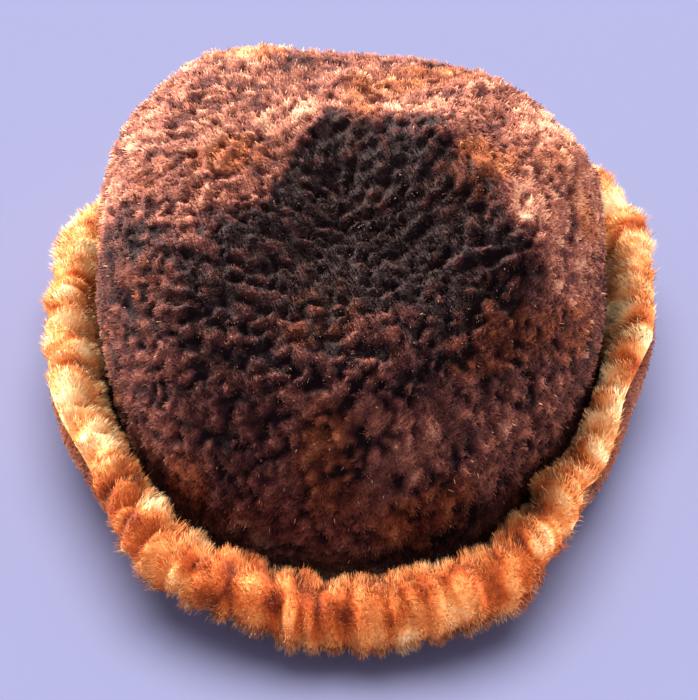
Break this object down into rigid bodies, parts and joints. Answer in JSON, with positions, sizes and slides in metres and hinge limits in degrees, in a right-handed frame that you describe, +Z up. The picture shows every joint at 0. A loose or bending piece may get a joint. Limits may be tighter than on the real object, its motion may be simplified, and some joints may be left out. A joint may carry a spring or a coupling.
{
  "type": "fur derby hat",
  "caption": "Soft fur hat with a rounded crown of sheared fur and an upturned brim edged with deep fur, open below for a head.",
  "frame": {"origin": "on the surface that the hat rests on, below the middle of the whole hat", "axes": "+Z up, -Y towards the front of the hat, +X towards the wearer's left"},
  "size_m": [0.2586, 0.306, 0.1173],
  "materials": {
    "dark_fur": "sheared dark brown fur in small nubs laid in rows, matt with a soft sheen",
    "brown_fur": "short sheared brown fur, matt",
    "golden_fur": "deep golden brown fur in pointed tufts, darker at the roots and pale at the tips"
  },
  "bodies": {
    "root": {"crown": "dark_fur", "brim": "brown_fur", "brim_fur": "golden_fur"}
  },
  "joints": []
}
